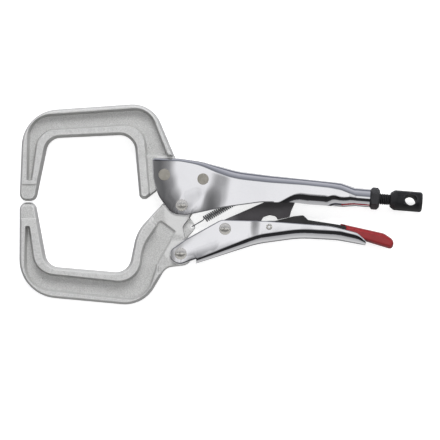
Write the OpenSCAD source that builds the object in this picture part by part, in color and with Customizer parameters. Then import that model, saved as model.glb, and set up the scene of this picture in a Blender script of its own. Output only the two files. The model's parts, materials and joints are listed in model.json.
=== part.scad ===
// Large-throat locking C-clamp pliers, in millimetres.
// The tool lies closed and locked on its side: +X runs along the handles to the knob,
// +Y towards the fixed jaw, and +Z up from the bench. Every part is drawn from the
// centre of the jaw pivot, in the tool's middle plane, and module in_frame() moves it
// to the frame, whose origin is the middle of the footprint on the bench.

/* [Jaws] */
// Width of the jaws across their raised rims
jaw_width = 19; // [18:0.1:20]
// Thickness of the web between the rims
web_thick = 6; // [4:0.5:8]
// Width of the square tips
tip_width = 16.6; // [12:0.2:18]
// Thickness of the thin tab that the return spring hooks into
tab_thick = 3; // [2:0.5:4]

/* [Handles] */
// Outside width of both sheet channels
channel_width = 14.5; // [14:0.1:15]
// Thickness of the sheet
sheet = 2.3; // [2:0.1:2.5]
// Outside diameter of the tube at the rear of the upper handle
tube_d = 12.7; // [12.5:0.1:14]
// Play on each side of a part that moves between the channel walls
side_play = 0.2; // [0.1:0.05:0.3]

/* [Rivets] */
// Shank diameter of the three pivot rivets
pivot_d = 6; // [5:0.5:7]
// Diameter of their domed heads
dome_d = 8.3; // [8:0.1:9]
// Height of their domed heads
dome_h = 2.2; // [1.5:0.1:2.2]
// Diameter of the two flush rivets that hold the fixed jaw
flush_d = 8.2; // [7:0.1:9]
// Shank diameter of the release lever's rivet
lever_pin_d = 3; // [2.5:0.1:3.5]
// Diameter of that rivet's rolled ends
lever_pin_head_d = 4.3; // [4:0.1:5]
// Radial play of a part on the rivet it turns on
running = 0.05; // [0.02:0.01:0.1]

/* [Toggle link and release lever] */
// Thickness of the toggle link
link_thick = 5; // [4:0.2:5]
// Outside width of the release lever
lever_width = 7.8; // [7.6:0.1:8]
// Width of the fork in the lever that the link drops into
lever_fork = 5.4; // [5.3:0.1:5.6]
// Width of the vinyl grip
grip_width = 9.4; // [9:0.1:9.6]

/* [Return spring] */
// Outside diameter of the coil
spring_d = 5.2; // [4.5:0.1:5.5]
// Wire diameter
wire_d = 0.8; // [0.6:0.1:0.9]

/* [Adjusting screw] */
// Outside diameter of the thread
thread_d = 8; // [7.9:0.1:8]
// Diameter of the cross-drilled head
head_d = 14; // [13:0.5:15]
// Length of the head
head_len = 22.4; // [20:0.2:24]
// Diameter of the cross hole in the head
cross_hole_d = 8; // [6:0.5:9]
// Angle that the cross hole is turned from upright
cross_hole_turn = 12; // [-20:1:20]
// Width across flats of the jam nut
nut_flats = 13.6; // [13:0.1:14.3]
// Thickness of the jam nut
nut_len = 6.8; // [6:0.1:8]
// Radial play of the screw in the plain bores that stand for its threads
thread_play = 0.08; // [0.05:0.01:0.1]

/* [Hidden] */
$fn = 48;
// Largest turn between two points of a rounded corner, in degrees
arc_step = 9;
// How far a cutting shape reaches past the solid it cuts
past = 1;

rim_half = jaw_width / 2;
web_half = web_thick / 2;
tip_half = tip_width / 2;
wall_out = channel_width / 2;
wall_in = wall_out - sheet;
tang_half = wall_in - side_play;

// Pivots and rivets, from the jaw pivot's centre
jaw_pivot = [0, 0];
handle_pivot = [-0.8, -33.6];
link_pivot = [30, -16.4];
lever_pivot = [60.6, -15];
flush_front = [-12.1, 21.2];
flush_rear = [14.7, 18.2];
spring_hole = [7, -14.8];
spring_anchor = [54.3, 12.2];

// The adjusting screw's axis: its slope, and where it crosses the jaw pivot's plane
screw_slope = -4.6;
screw_rise = 15.5;
// Places along the screw's axis
push_point = 81.1;
push_radius = 4.5;
push_gap = 3.9;
lip_start = 84;
lip_end = 106;
tube_start = 119;
tube_end = 131.1;
head_start = 145.4;
head_cone = 3;
cross_hole_at = 159.4;
screw_end = head_start + head_len;
nut_start = tube_end + 0.1;

// Closed outlines as corners [x, y, radius]
fixed_jaw_corners = [
    [-113.2, 3, 5],
    [-101.4, 3, 5],
    [-92.5, 46.5, 10],
    [-33.5, 49.2, 11],
    [-29.5, 4, 3.5],
    [-24.6, 4.4, 1.5],
    [-16, 11, 4],
    [22.5, 10.2, 3.5],
    [22.5, 24.6, 3],
    [-2.6, 28.4, 0.5],
    [-20.8, 71.4, 21],
    [-110.8, 65.2, 26],
];
fixed_pocket_corners = [
    [-107, 17.5, 0.5],
    [-104.5, 17.5, 0.5],
    [-99.5, 52, 14],
    [-26.8, 56.5, 14],
    [-24.5, 35, 0.5],
    [-10.2, 35, 0.5],
    [-23, 67.4, 14.5],
    [-106.5, 61.5, 16],
];
fixed_tang_corners = [
    [-24.2, 35, 0],
    [-10, 35, 0],
    [-10, 34, 0],
    [27, 34, 0],
    [27, -4, 0],
    [-21, -4, 0],
];
moving_jaw_corners = [
    [-113, 2, 5],
    [-113.4, -62.4, 27],
    [-27, -70.4, 23.5],
    [-11.2, -43.5, 8.5],
    [7.3, -41.3, 7.6],
    [7.2, -26.5, 5.5],
    [2.4, -22.5, 1.5],
    [0.7, -15, 4],
    [5.5, -9, 2],
    [9, -3.5, 4],
    [9, 8.8, 7.8],
    [-6.6, 8.2, 5.6],
    [-31.5, -18, 28],
    [-37.5, -47.2, 10.5],
    [-93.5, -42.4, 10],
    [-101.8, 2, 5],
];
moving_pocket_corners = [
    [-108, -15, 0.5],
    [-109, -57.2, 18],
    [-25.5, -66.4, 16.5],
    [-16.5, -40, 28],
    [-4.7, -18.4, 1],
    [-15.1, -10.6, 1.5],
    [-27, -28.5, 26.5],
    [-30.5, -54.5, 15.5],
    [-101.5, -47, 15.5],
    [-106, -15, 0.5],
];
moving_tang_corners = [
    [-24.5, -6.5, 0],
    [-18, -13, 0],
    [-13, -21, 0],
    [-16.5, -39.5, 0],
    [-15.5, -46.5, 0],
    [-5, -50, 0],
    [23, -50, 0],
    [23, 14, 0],
    [-16, 14, 0],
];
spring_tab_corners = [
    [-4, -8.6, 0],
    [5.4, -8.6, 0.5],
    [9, -13.2, 2],
    [9.5, -15.9, 2],
    [3.2, -23.4, 0.5],
    [-4, -20, 0],
];
tip_shoulder = 14.4;
moving_tip_shoulder = -9.2;
upper_handle_corners = [
    [-20.5, 33, 2],
    [-20.2, 20.5, 21],
    [-16.5, 6.5, 21],
    [-7, -6.3, 10],
    [3, -7, 8],
    [28, -1.6, 40],
    [55, 2.1, 30],
    [76, 2.1, 25],
    [88, 0.6, 30],
    [112.5, -1.1, 8],
    [120.1, -0.5, 0],
    [121.1, 12.1, 0],
    [111, 15.6, 10],
    [62, 20.7, 60],
    [40, 23.5, 60],
    [14, 30.3, 40],
    [-2, 32.5, 15],
];
// The space inside the upper handle: below its web, and open in front of it
upper_inside_corners = [
    [2.2, 60, 0],
    [2.2, 29.7, 0],
    [14, 27.9, 40],
    [40, 21.1, 60],
    [62, 18.3, 60],
    [106, 13.6, 4],
    [105.2, 1.7, 2],
    [83.4, 3.4, 0],
    [83.4, -20, 0],
    [-40, -20, 0],
    [-40, 60, 0],
];
lower_handle_corners = [
    [-7.8, -30.9, 5.5],
    [2.6, -23.6, 25],
    [27.2, -10.1, 8],
    [60, -11, 60],
    [104, -14.5, 60],
    [122, -19.2, 8],
    [128, -24.6, 4],
    [127.6, -27.9, 0.5],
    [108, -24.3, 60],
    [82, -22.9, 80],
    [52, -27, 80],
    [10.6, -40.3, 0.5],
    [9, -37.4, 0.5],
    [-1, -41.3, 6.4],
    [-9, -38.6, 6],
];
// The space inside the lower handle: above its web, and open in front of it
lower_inside_corners = [
    [-30, -60, 0],
    [9.9, -60, 0],
    [9.9, -37.6, 0],
    [52, -24.6, 80],
    [82, -20.5, 80],
    [108, -21.9, 60],
    [140, -27.8, 0],
    [140, 20, 0],
    [-30, 20, 0],
];
link_corners = [
    [23.4, -12.8, 6],
    [29, -10.3, 6],
    [75.6, 10.2, 4],
    [82.2, 14.4, 4.2],
    [86, 5.4, 4.2],
    [79.2, 3, 2],
    [76, -4.2, 2],
    [75, -8.2, 0.6],
    [66.6, -10.1, 0.5],
    [65.6, -7.8, 3],
    [61, -6.9, 3],
    [56.4, -8.4, 3],
    [55.4, -10.6, 0.5],
    [37.6, -21.8, 6],
    [27, -24.6, 6.4],
];
lever_corners = [
    [56.4, -10.8, 4],
    [65, -10.8, 1],
    [78, -7.6, 2],
    [84.4, -6.9, 1.5],
    [87.8, -10.2, 1.5],
    [111, -13.8, 40],
    [137, -20, 6],
    [142.6, -25.4, 2.4],
    [139, -27.6, 2.4],
    [124, -23.6, 20],
    [108, -21, 40],
    [82, -19.9, 40],
    [56.4, -19.2, 4],
];
lever_slot_corners = [
    [50, -12.2, 0],
    [78.6, -12.2, 0],
    [78.6, 0, 0],
    [50, 0, 0],
];
grip_corners = [
    [110.4, -12.8, 1],
    [139, -19.4, 9],
    [147.5, -26.2, 3],
    [145, -30.5, 2.6],
    [127.2, -25, 20],
    [110.4, -22, 1],
];

// A direction of length 1
function unit(v) = v / norm(v);
// The point or vector p turned by an angle
function turned(p, angle) = [
    p[0] * cos(angle) - p[1] * sin(angle),
    p[0] * sin(angle) + p[1] * cos(angle),
];
// Half of the angle at corner b between its neighbours a and c
function half_angle(a, b, c) = acos(unit(a - b) * unit(c - b)) / 2;
// The arc of radius r that rounds corner b
function corner_arc(a, b, c, r) =
    r == 0 ? [b] :
    let (
        to_a = unit(a - b),
        to_c = unit(c - b),
        half = half_angle(a, b, c),
        centre = b + unit(to_a + to_c) * r / sin(half),
        start = b + to_a * r / tan(half),
        side = cross(to_a, to_c) > 0 ? -1 : 1,
        turn = 180 - 2 * half,
        steps = ceil(turn / arc_step)
    )
    [for (i = [0:steps]) centre + turned(start - centre, side * turn * i / steps)];
// All points of a closed outline given as corners [x, y, radius]
function outline(corners) =
    let (
        n = len(corners),
        at = [for (c = corners) [c[0], c[1]]],
        before = function(i) at[(i + n - 1) % n],
        after = function(i) at[(i + 1) % n],
        reach = [for (i = [0:n - 1]) corners[i][2] / tan(half_angle(before(i), at[i], after(i)))],
        spare = [for (i = [0:n - 1]) norm(after(i) - at[i]) - reach[i] - reach[(i + 1) % n]]
    )
    assert(min(spare) > 0, str("corner radii overlap on an outline: ", corners, spare))
    [for (i = [0:n - 1]) each corner_arc(before(i), at[i], after(i), corners[i][2])];
// A point given along and across the screw's axis, in the plane of the pivots
function by_screw(along, across) = turned([along, across], screw_slope) + [0, screw_rise];

fixed_jaw_points = outline(fixed_jaw_corners);
moving_jaw_points = outline(moving_jaw_corners);
left_end = min([for (p = moving_jaw_points) p[0]]);
right_end = by_screw(screw_end, head_d / 2)[0];
top_end = max([for (p = fixed_jaw_points) p[1]]);
bottom_end = min([for (p = moving_jaw_points) p[1]]);
to_frame = [-(left_end + right_end) / 2, -(top_end + bottom_end) / 2, rim_half];

module in_frame() {
    translate(to_frame)
        children();
}

// A plate of the given half thickness about the middle plane
module plate(corners, half) {
    translate([0, 0, -half])
        linear_extrude(height = 2 * half)
            polygon(outline(corners));
}

// Two plates that take everything further than half from the middle plane away
module faces_beyond(corners, half) {
    for (side = [0, 1])
        mirror([0, 0, side])
            translate([0, 0, half])
                linear_extrude(height = rim_half - half + past)
                    polygon(outline(corners));
}

// A straight pin or hole through the middle plane
module across(at, d, half) {
    translate([at[0], at[1], -half])
        cylinder(d = d, h = 2 * half);
}

// Places its children along the screw's axis, with that axis as Z
module on_screw(along) {
    p = by_screw(along, 0);
    translate([p[0], p[1], 0])
        rotate([0, 0, screw_slope])
            rotate([0, 90, 0])
                children();
}

// A domed head standing on a face at the height z
module dome(z) {
    r = dome_d / 2;
    ball = (r * r + dome_h * dome_h) / (2 * dome_h);
    translate([0, 0, z])
        rotate_extrude()
            intersection() {
                translate([0, dome_h - ball])
                    circle(r = ball, $fn = 96);
                square([r, dome_h]);
            }
}

module domed_rivet(at) {
    across(at, pivot_d, wall_out);
    translate([at[0], at[1], 0])
        for (side = [0, 1])
            mirror([0, 0, side])
                dome(wall_out);
}

// The flat tip of a jaw, cut down from the rims by its own narrower width
module tip_cut(low, high) {
    for (side = [0, 1])
        mirror([0, 0, side])
            translate([-120, low, tip_half])
                cube([24, high - low, rim_half - tip_half + past]);
}

module upper_handle() {
    color("gainsboro") in_frame()
        difference() {
            union() {
                difference() {
                    plate(upper_handle_corners, wall_out);
                    plate(upper_inside_corners, wall_in);
                    lip_slot();
                }
                spring_lug();
                on_screw(tube_start)
                    cylinder(d = tube_d, h = tube_end - tube_start);
            }
            on_screw(lip_end - 3)
                cylinder(r = thread_d / 2 + thread_play, h = tube_end - lip_end + 3 + past);
            for (at = [flush_front, flush_rear])
                across(at, flush_d, wall_out + past);
            across(jaw_pivot, pivot_d, wall_out + past);
            spring_lug_hole();
        }
}

// The slot between the two lips that curl in under the rear of the upper handle
module lip_slot() {
    slot_width = link_thick + 0.6;
    translate([0, screw_rise, 0])
        rotate([0, 0, screw_slope])
            translate([lip_start - past, -12, -slot_width / 2])
                cube([lip_end - lip_start + past, 10, slot_width]);
}

// The tab lanced down from the upper handle's web for the spring's rear hook
module spring_lug() {
    lug_width = 6;
    translate([spring_anchor[0] + 1, spring_anchor[1] - 2.2, -lug_width / 2])
        cube([sheet, 10, lug_width]);
}

module spring_lug_hole() {
    translate([spring_anchor[0], spring_anchor[1], 0])
        rotate([0, 90, 0])
            cylinder(r = wire_d, h = 5);
}

module fixed_jaw() {
    color("darkgray") in_frame()
        difference() {
            plate(fixed_jaw_corners, rim_half);
            faces_beyond(fixed_pocket_corners, web_half);
            faces_beyond(fixed_tang_corners, wall_in);
            tip_cut(-past, tip_shoulder);
            for (at = [flush_front, flush_rear])
                across(at, flush_d, rim_half);
        }
}

module moving_jaw() {
    color("darkgray") in_frame()
        difference() {
            union() {
                difference() {
                    plate(moving_jaw_corners, rim_half);
                    faces_beyond(moving_pocket_corners, web_half);
                    faces_beyond(moving_tang_corners, tang_half);
                    tip_cut(moving_tip_shoulder, 4);
                }
                plate(spring_tab_corners, tab_thick / 2);
            }
            across(jaw_pivot, pivot_d + 2 * running, rim_half);
            across(handle_pivot, pivot_d + 2 * running, rim_half);
            across(spring_hole, 3 * wire_d, rim_half);
        }
}

module flush_rivet(at) {
    color("tan") in_frame()
        across(at, flush_d, wall_out);
}

module fixed_jaw_rivet_front() {
    flush_rivet(flush_front);
}

module fixed_jaw_rivet_rear() {
    flush_rivet(flush_rear);
}

module jaw_pivot_rivet() {
    color("silver") in_frame()
        domed_rivet(jaw_pivot);
}

module handle_pivot_rivet() {
    color("silver") in_frame()
        domed_rivet(handle_pivot);
}

module link_pivot_rivet() {
    color("silver") in_frame()
        domed_rivet(link_pivot);
}

module lower_handle() {
    color("gainsboro") in_frame()
        difference() {
            plate(lower_handle_corners, wall_out);
            plate(lower_inside_corners, wall_in);
            across(handle_pivot, pivot_d, wall_out + past);
            across(link_pivot, pivot_d, wall_out + past);
            across(lever_pivot, lever_pin_d, wall_out + past);
        }
}

module toggle_link() {
    color("dimgray") in_frame()
        difference() {
            plate(link_corners, link_thick / 2);
            across(link_pivot, pivot_d + 2 * running, link_thick);
        }
}

// A washer between the toggle link and one wall of the lower handle
module link_spacer(side) {
    play = 0.05;
    thick = wall_in - link_thick / 2 - 2 * play;
    color("slategray") in_frame()
        translate([link_pivot[0], link_pivot[1], side * (link_thick + thick + 2 * play) / 2])
            difference() {
                cylinder(d = 11, h = thick, center = true);
                cylinder(d = pivot_d + 2 * running, h = thick + past, center = true);
            }
}

module link_spacer_near() {
    link_spacer(1);
}

module link_spacer_far() {
    link_spacer(-1);
}

module release_lever() {
    color("black") in_frame()
        difference() {
            plate(lever_corners, lever_width / 2);
            plate(lever_slot_corners, lever_fork / 2);
            across(lever_pivot, lever_pin_d + 2 * running, lever_width);
        }
}

module lever_grip() {
    color("firebrick") in_frame()
        difference() {
            plate(grip_corners, grip_width / 2);
            plate(lever_corners, lever_width / 2);
        }
}

// A small rivet with a hollow rolled end on both sides
module lever_rivet() {
    head_h = 0.4;
    hollow = 1.5;
    color("silver") in_frame()
        difference() {
            union() {
                across(lever_pivot, lever_pin_d, wall_out);
                for (side = [0, 1])
                    mirror([0, 0, side])
                        translate([lever_pivot[0], lever_pivot[1], wall_out])
                            cylinder(d = lever_pin_head_d, h = head_h);
            }
            for (side = [0, 1])
                mirror([0, 0, side])
                    translate([lever_pivot[0], lever_pivot[1], wall_out + head_h - hollow])
                        cylinder(d = lever_pin_d / 2, h = hollow + past);
        }
}

// A round bar between two points, with a ball at its far end
module wire(from, to) {
    along = to - from;
    translate(from)
        rotate([0, acos(along[2] / norm(along)), atan2(along[1], along[0])]) {
            cylinder(d = wire_d, h = norm(along), $fn = 16);
            translate([0, 0, norm(along)])
                sphere(d = wire_d, $fn = 16);
        }
}

// The spring's coil is a sleeve here, closed at both ends where its wire turns in
module return_spring() {
    hook_z = tab_thick / 2 + wire_d;
    // The front hook's arm leaves the coil beside its axis, to pass over the tab's face
    arm_z = spring_d / 2 - wire_d;
    run = spring_anchor - spring_hole;
    way = unit(run);
    coil_start = 9.7;
    coil_end = norm(run) - 7;
    front = spring_hole + way * coil_start;
    back = spring_hole + way * coil_end;
    hook_top = [spring_hole[0], spring_hole[1], hook_z];
    anchor = [spring_anchor[0], spring_anchor[1], 0];
    color("lightgray") in_frame()
        union() {
            wire([front[0], front[1], arm_z], hook_top);
            wire(hook_top, [spring_hole[0], spring_hole[1], -hook_z]);
            wire([back[0], back[1], 0], anchor);
            wire(anchor, anchor + [sheet + 2, 0, 0]);
            translate([front[0], front[1], 0])
                rotate([0, 0, atan2(run[1], run[0])])
                    rotate([0, 90, 0])
                        difference() {
                            cylinder(d = spring_d, h = coil_end - coil_start);
                            translate([0, 0, wire_d])
                                cylinder(
                                    d = spring_d - 2 * wire_d,
                                    h = coil_end - coil_start - 2 * wire_d
                                );
                        }
        }
}

module adjusting_screw() {
    color("#202020") in_frame()
        difference() {
            on_screw(0)
                rotate_extrude()
                    polygon(screw_section());
            on_screw(cross_hole_at)
                rotate([0, 0, -cross_hole_turn])
                    rotate([0, 90, 0])
                        cylinder(d = cross_hole_d, h = 2 * head_d, center = true);
        }
}

// Half of the screw's section, from its flat tip to the rounded end of its head
function screw_section() =
    let (
        tip = push_point + push_radius + push_gap,
        tip_bevel = 1.6,
        thread_r = thread_d / 2,
        head_r = head_d / 2,
        round_edge = 1.6,
        neck = 0.3
    )
    concat(
        [
            [0, tip],
            [thread_r - tip_bevel, tip],
            [thread_r, tip + tip_bevel],
            [thread_r, head_start],
            [thread_r + neck, head_start],
            [head_r, head_start + head_cone],
        ],
        [
            for (angle = [0:15:90])
                [head_r - round_edge, screw_end - round_edge]
                + round_edge * [cos(angle), sin(angle)]
        ],
        [[0, screw_end]]
    );

module jam_nut() {
    color("#202020") in_frame()
        on_screw(nut_start)
            difference() {
                rotate([0, 0, 90])
                    cylinder(d = nut_flats / cos(30), h = nut_len, $fn = 6);
                translate([0, 0, -past])
                    cylinder(r = thread_d / 2 + thread_play, h = nut_len + 2 * past);
            }
}

upper_handle();
fixed_jaw();
fixed_jaw_rivet_front();
fixed_jaw_rivet_rear();
moving_jaw();
jaw_pivot_rivet();
lower_handle();
handle_pivot_rivet();
toggle_link();
link_pivot_rivet();
link_spacer_near();
link_spacer_far();
release_lever();
lever_rivet();
lever_grip();
return_spring();
adjusting_screw();
jam_nut();
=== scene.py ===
"""Locking C-clamp pliers lying on a pale floor, seen from straight above."""

import json
import math

import bmesh
import bpy
import numpy as np
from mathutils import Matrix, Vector
from mathutils.geometry import delaunay_2d_cdt

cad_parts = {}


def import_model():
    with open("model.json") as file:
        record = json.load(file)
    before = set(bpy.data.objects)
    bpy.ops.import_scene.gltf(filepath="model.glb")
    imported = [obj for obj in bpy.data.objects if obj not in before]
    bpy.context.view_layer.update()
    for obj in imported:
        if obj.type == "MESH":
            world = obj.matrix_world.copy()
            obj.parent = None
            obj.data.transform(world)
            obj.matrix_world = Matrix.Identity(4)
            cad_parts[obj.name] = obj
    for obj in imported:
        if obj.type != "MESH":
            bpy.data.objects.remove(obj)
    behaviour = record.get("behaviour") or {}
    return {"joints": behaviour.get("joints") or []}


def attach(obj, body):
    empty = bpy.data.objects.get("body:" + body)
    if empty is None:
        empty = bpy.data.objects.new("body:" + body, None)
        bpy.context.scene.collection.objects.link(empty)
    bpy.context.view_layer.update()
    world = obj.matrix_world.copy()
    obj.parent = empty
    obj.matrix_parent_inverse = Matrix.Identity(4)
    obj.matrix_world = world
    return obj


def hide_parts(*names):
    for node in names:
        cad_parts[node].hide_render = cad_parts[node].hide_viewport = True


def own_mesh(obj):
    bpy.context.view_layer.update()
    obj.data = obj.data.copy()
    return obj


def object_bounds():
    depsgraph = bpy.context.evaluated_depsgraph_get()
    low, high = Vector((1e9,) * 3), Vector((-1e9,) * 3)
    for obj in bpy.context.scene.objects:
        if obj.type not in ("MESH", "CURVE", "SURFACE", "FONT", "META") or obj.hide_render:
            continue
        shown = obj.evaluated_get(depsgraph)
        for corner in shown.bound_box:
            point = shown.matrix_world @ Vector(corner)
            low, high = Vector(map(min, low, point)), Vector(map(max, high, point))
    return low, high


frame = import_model()
cad_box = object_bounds()

# Everything is drawn in millimetres from the jaw pivot, in the tool's middle plane.
JOINTS = {j["name"]: j for j in frame["joints"]}
ORIGIN = np.array(JOINTS["jaw_open"]["pos_m"])
MM = 0.001


def pivot(joint):
    return (np.array(JOINTS[joint]["pos_m"]) - ORIGIN)[:2] / MM


JAW_PIVOT = pivot("jaw_open")
HANDLE_PIVOT = pivot("handle_swing")
LINK_PIVOT = pivot("link_swing")
LEVER_PIVOT = pivot("lever_release")
SCREW_DIR = np.array(JOINTS["screw_turn"]["axis"])
SCREW_SLOPE = math.atan2(SCREW_DIR[1], SCREW_DIR[0])
SCREW_RISE = 15.5
FLUSH_RIVETS = {
    "fixed_jaw_rivet_front": np.array([-12.1, 21.2]),
    "fixed_jaw_rivet_rear": np.array([14.7, 18.2]),
}
SPRING_HOLE = np.array([7.0, -14.8])
SPRING_ANCHOR = np.array([54.3, 12.2])

# half thicknesses of the jaws, then the handles' half width, sheet and inner half width
RIM_HALF = 9.5
WEB_HALF = 3.0
TIP_HALF = 8.3
WALL_OUT = 7.25
SHEET = 2.3
WALL_IN = WALL_OUT - SHEET
# how far the jaws' sides lean in from the parting line up to the rim
DRAFT = 1.7
# keeps the jaws' parting line just inside the CAD outline
PARTING_INSET = 0.045
PIVOT_R = 3.0
PIVOT_BORE_R = 3.05
DOME_R = 4.15
DOME_H = 2.2
FLUSH_R = 4.1

FIXED_JAW = [
    [-113.2, 3, 5], [-101.4, 3, 5], [-92.5, 46.5, 10], [-33.5, 49.2, 11],
    [-29.5, 4, 3.5], [-24.6, 4.4, 1.5], [-16, 11, 4], [22.5, 10.2, 3.5],
    [22.5, 24.6, 3], [-2.6, 28.4, 0.5], [-20.8, 71.4, 21], [-110.8, 65.2, 26],
]
FIXED_POCKET = [
    [-107, 17.5, 0.5], [-104.5, 17.5, 0.5], [-99.5, 52, 14], [-26.8, 56.5, 14],
    [-24.5, 35, 0.5], [-10.2, 35, 0.5], [-23, 67.4, 14.5], [-106.5, 61.5, 16],
]
FIXED_TANG = [
    [-24.2, 35, 0], [-10.2, 35, 0], [-10.2, 34, 0], [27, 34, 0], [27, -4, 0], [-21, -4, 0],
]
MOVING_JAW = [
    [-113, 2, 5], [-113.4, -62.4, 27], [-27, -70.4, 23.5], [-11.2, -43.5, 8.5],
    [7.3, -41.3, 7.6], [7.2, -26.5, 5.5], [3.4, -23.3, 0.6], [9.4, -15.9, 2],
    [8.9, -13.2, 2], [5.6, -8.9, 0.4], [9, -3.5, 3], [9, 8.8, 7.8],
    [-6.6, 8.2, 5.6], [-31.5, -18, 28], [-37.5, -47.2, 10.5], [-93.5, -42.4, 10],
    [-101.8, 2, 5],
]
MOVING_POCKET = [
    [-108, -15, 0.5], [-109, -57.2, 18], [-25.5, -66.4, 16.5], [-16.5, -40, 28],
    [-4.7, -18.4, 1], [-15.1, -10.6, 1.5], [-27, -28.5, 26.5], [-30.5, -54.5, 15.5],
    [-101.5, -47, 15.5], [-106, -15, 0.5],
]
MOVING_TANG = [
    [-24.5, -6.5, 0], [-18, -13, 0], [-13, -21, 0], [-16.5, -39.5, 0],
    [-15.5, -46.5, 0], [-5, -50, 0], [23, -50, 0], [23, 14, 0], [-16, 14, 0],
]
SPRING_TAB = [
    [2.4, -22.5, 1.5], [0.7, -15, 4], [5.5, -9, 1], [14, -9, 0], [14, -27, 0], [2.4, -27, 0],
]
UPPER_FRONT = [
    [-2, 32.5, 15], [-20.5, 33, 2], [-20.2, 20.5, 21], [-16.5, 6.5, 21], [-7, -6.3, 10],
    [3, -7, 8], [28, -1.6, 40], [55, 2.1, 30], [76, 2.1, 25], [88, 0.6, 30], [112.5, -1.1, 8],
]
UPPER_TOP = [[111, 15.6, 10], [62, 20.7, 60], [40, 23.5, 60], [14, 30.3, 40]]
TUBE_R = 6.35
TUBE_START = 121.0
TUBE_END = 131.1
LOWER_HANDLE = [
    [-7.8, -30.9, 5.5], [2.6, -23.6, 25], [27.2, -10.1, 8], [60, -11, 60],
    [104, -14.5, 60], [122, -19.2, 8], [128, -24.6, 4], [127.6, -27.9, 0.5],
    [108, -24.3, 60], [82, -22.9, 80], [52, -27, 80], [9.9, -40.5, 0.2],
    [9.8, -37.5, 0.2], [-1, -41.3, 6.4], [-9, -38.6, 6],
]
LOWER_WEB_START = 9.9
LINK = [
    [23.4, -12.8, 6], [29, -10.3, 6], [75.6, 10.2, 4], [82.2, 14.4, 4.2],
    [86, 5.4, 4.2], [79.2, 3, 2], [76, -4.2, 2], [75, -8.2, 0.6], [66.6, -10.1, 0.5],
    [65.6, -7.8, 3], [61, -6.9, 3], [56.4, -8.4, 3], [55.4, -10.6, 0.5],
    [37.6, -21.8, 6], [27, -24.6, 6.4],
]
LEVER = [
    [56.4, -10.8, 4], [65, -10.8, 1], [78, -7.6, 2], [84.4, -6.9, 1.5],
    [87.8, -10.2, 1.5], [111, -13.8, 40], [137, -20, 6], [142.6, -25.4, 2.4],
    [139, -27.6, 2.4], [124, -23.6, 20], [108, -21, 40], [82, -19.9, 40],
    [56.4, -19.2, 4],
]
GRIP_FRONT = 110.4
GRIP = [
    [GRIP_FRONT, -12.8, 0.3], [140.8, -19.6, 9], [148.0, -24.6, 4.6], [146.3, -30.8, 2.4],
    [127.2, -25, 20], [113.2, -22.4, 1], [113.2, -14.9, 1.2], [110.7, -13.7, 0.2],
]


# ---------------------------------------------------------------- plane geometry


def unit(v):
    return v / np.linalg.norm(v)


def turned(p, angle):
    c, s = math.cos(angle), math.sin(angle)
    return np.array([p[0] * c - p[1] * s, p[0] * s + p[1] * c])


def rounded(corners, inset=0.0, step=6.0):
    """Points of a closed outline of corners [x, y, radius], moved inwards by inset."""
    at = np.array([c[:2] for c in corners], float)
    n = len(at)
    after = np.roll(at, -1, axis=0)
    way = 1 if np.sum(at[:, 0] * after[:, 1] - after[:, 0] * at[:, 1]) > 0 else -1
    edges = [unit(b - a) for a, b in zip(at, after)]
    normals = [way * np.array([-e[1], e[0]]) for e in edges]
    points = []
    for i in range(n):
        a, b = normals[i - 1], normals[i]
        corner = at[i] + inset * (a + b) / (1 + a @ b)
        e, f = edges[i - 1], edges[i]
        turn = math.atan2(e[0] * f[1] - e[1] * f[0], e @ f)
        r = corners[i][2] + (-inset if turn * way > 0 else inset)
        r = max(r, 1e-3)
        start = corner - e * r * math.tan(abs(turn) / 2)
        centre = start + math.copysign(r, turn) * np.array([-e[1], e[0]])
        steps = max(1, math.ceil(abs(math.degrees(turn)) / step))
        for k in range(steps + 1):
            points.append(centre + turned(start - centre, turn * k / steps))
    return np.array(points)


def resampled(line, longest=2.0, closed=True, shortest=0.04):
    """The line with long stretches divided and near-coincident points left out."""
    out = [line[0]]
    last = line[0] if closed else None
    for p in list(line[1:]) + ([last] if closed else []):
        gap = np.linalg.norm(p - out[-1])
        if gap < shortest:
            continue
        start = out[-1]
        steps = math.ceil(gap / longest)
        out += [start + (p - start) * k / steps for k in range(1, steps + 1)]
    if closed and np.linalg.norm(out[-1] - out[0]) < shortest:
        out.pop()
    return np.array(out)


def distance(points, line, closed=True):
    """Distance of each point from a line of points."""
    best = np.full(len(points), np.inf)
    ends = np.roll(line, -1, axis=0) if closed else line[1:]
    for p, q in zip(line, ends):
        d = q - p
        length = d @ d
        if length > 1e-12:
            t = np.clip(((points - p) @ d) / length, 0, 1)
            best = np.minimum(best, np.hypot(*(points - p - t[:, None] * d).T))
    return best


def inside(points, loop):
    x, y = points.T
    odd = np.zeros(len(points), bool)
    for p, q in zip(loop, np.roll(loop, -1, axis=0)):
        if p[1] != q[1]:
            crosses = (p[1] > y) != (q[1] > y)
            odd ^= crosses & (x < (q[0] - p[0]) * (y - p[1]) / (q[1] - p[1]) + p[0])
    return odd


def depth_in(points, loop):
    """Distance from a loop, positive inside it."""
    return np.where(inside(points, loop), 1, -1) * distance(points, loop)


def smooth(t):
    t = np.clip(t, 0, 1)
    return t * t * (3 - 2 * t)


def slope_of(t, ease=0.2):
    """From 0 to 1 along a straight slope with small fillets at both ends."""
    t = np.clip(t, 0, 1)
    k = 2 * ease * (1 - ease)
    middle = (t - ease / 2) / (1 - ease)
    return np.where(t < ease, t * t / k, np.where(t > 1 - ease, 1 - (1 - t) ** 2 / k, middle))


def soft_min(a, b, k):
    h = np.clip(0.5 + 0.5 * (b - a) / k, 0, 1)
    return b * (1 - h) + a * h - k * h * (1 - h)


def circle(centre, r, n=40):
    return np.array([centre + r * turned((1, 0), 2 * math.pi * k / n) for k in range(n)])


def by_screw(u, v):
    """Points given along and across the screw's axis."""
    c, s = math.cos(SCREW_SLOPE), math.sin(SCREW_SLOPE)
    return u * c - v * s, u * s + v * c + SCREW_RISE


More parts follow.
